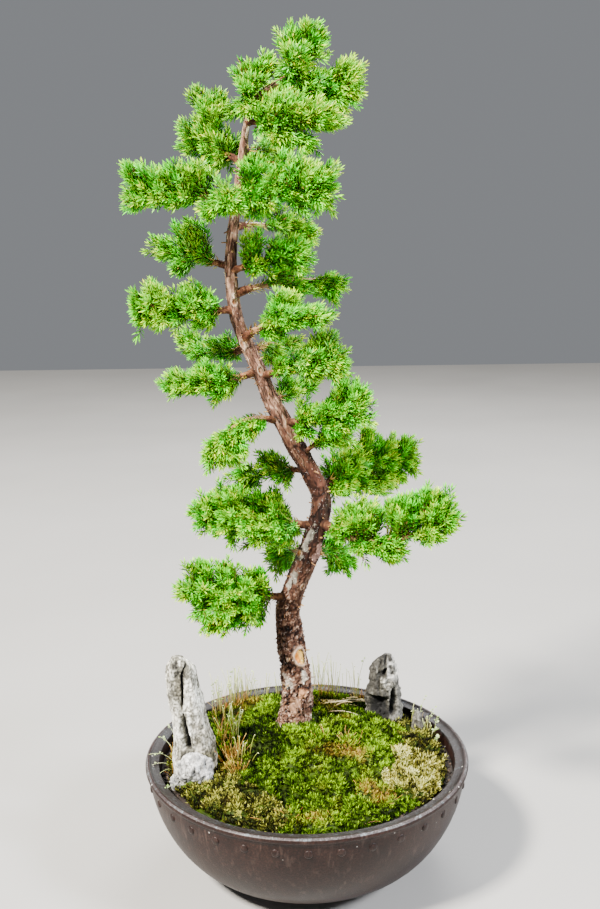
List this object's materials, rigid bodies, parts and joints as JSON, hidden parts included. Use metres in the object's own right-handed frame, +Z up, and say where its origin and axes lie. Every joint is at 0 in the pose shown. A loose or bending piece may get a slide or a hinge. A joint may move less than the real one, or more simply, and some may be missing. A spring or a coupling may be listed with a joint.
{
  "type": "juniper bonsai in a pot",
  "caption": "Tall slender juniper bonsai with an S-curved trunk and layered needle sprays, in a round studded bowl pot with a moss mound and upright stones.",
  "frame": {"origin": "on the pot's axis, in the plane that its feet stand on", "axes": "+Z up the pot's axis, +X to the viewer's right, +Y away from the viewer in the picture"},
  "size_m": [0.26, 0.26, 0.651],
  "materials": {
    "pot": "satin",
    "drain_screen": "matte",
    "soil": "matte",
    "moss_bright": "matte",
    "moss_olive": "matte",
    "moss_pale": "matte",
    "pale_stone": "matte",
    "dark_stone": "matte",
    "bark": "matte",
    "foliage": "satin"
  },
  "bodies": {
    "root": {"pot": "pot", "drain_screen": "drain_screen", "soil": "soil", "moss_bright": "moss_bright", "moss_olive_left": "moss_olive", "moss_pale_right": "moss_pale", "stone_tall": "pale_stone", "stone_dark": "dark_stone", "stone_small": "dark_stone", "trunk_and_limbs": "bark", "spray_low_left": "foliage", "spray_low_back_left": "foliage", "spray_low_back_right": "foliage", "spray_mid_left": "foliage", "spray_mid_right": "foliage", "spray_mid_back_right": "foliage", "spray_small_left": "foliage", "spray_bow_left": "foliage", "spray_half_right": "foliage", "spray_twig_right": "foliage", "spray_half_back": "foliage", "spray_long_left": "foliage", "spray_back_left": "foliage", "spray_fan_right": "foliage", "spray_back_fan": "foliage", "spray_pale_right": "foliage", "spray_plume_left": "foliage", "spray_ramp_right": "foliage", "spray_drop_right": "foliage", "spray_upper_left": "foliage", "spray_back_right": "foliage", "spray_shoulder_left": "foliage", "spray_front_left": "foliage", "spray_front_right": "foliage", "spray_high_left": "foliage", "spray_high_back": "foliage", "spray_crown_left": "foliage", "spray_crown_low": "foliage", "spray_crown_right": "foliage", "spray_crown_back": "foliage", "spray_crown_spire": "foliage"}
  },
  "joints": []
}
